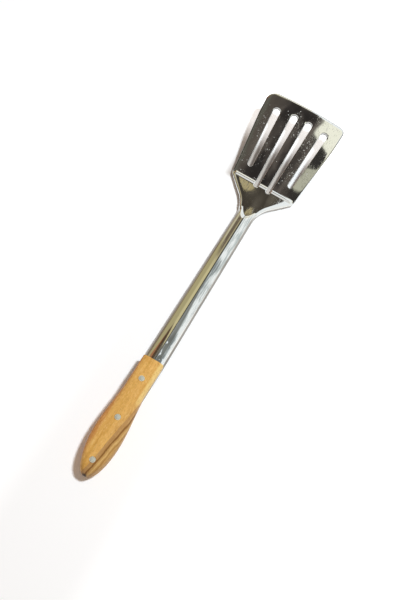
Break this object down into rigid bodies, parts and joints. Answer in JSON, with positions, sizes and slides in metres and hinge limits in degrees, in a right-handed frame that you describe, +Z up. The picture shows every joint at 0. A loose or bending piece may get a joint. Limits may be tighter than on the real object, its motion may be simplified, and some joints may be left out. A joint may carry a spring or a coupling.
{
  "type": "slotted turner",
  "caption": "Slotted kitchen turner: one pressed stainless steel blade, shaft and tang, with a riveted two-scale wooden handle.",
  "frame": {"origin": "under the middle of the whole length, on the surface the turner lies on", "axes": "+X from handle to blade tip, +Y to the left, +Z up"},
  "size_m": [0.401, 0.0791, 0.0273],
  "materials": {
    "polished_steel": "polished stainless steel with fine scratches",
    "handle_wood": "smooth oiled hardwood, pale sapwood with a brown heartwood streak",
    "rivet_metal": "dull hammered rivet end",
    "burr_metal": "bright turned ring"
  },
  "bodies": {
    "root": {"steel_pressing": "polished_steel", "top_scale": "handle_wood", "back_scale": "handle_wood", "rivet_front": "rivet_metal", "rivet_middle": "rivet_metal", "rivet_rear": "rivet_metal", "top_burr_front": "burr_metal", "top_burr_middle": "burr_metal", "top_burr_rear": "burr_metal", "back_burr_front": "burr_metal", "back_burr_middle": "burr_metal", "back_burr_rear": "burr_metal"}
  },
  "joints": []
}
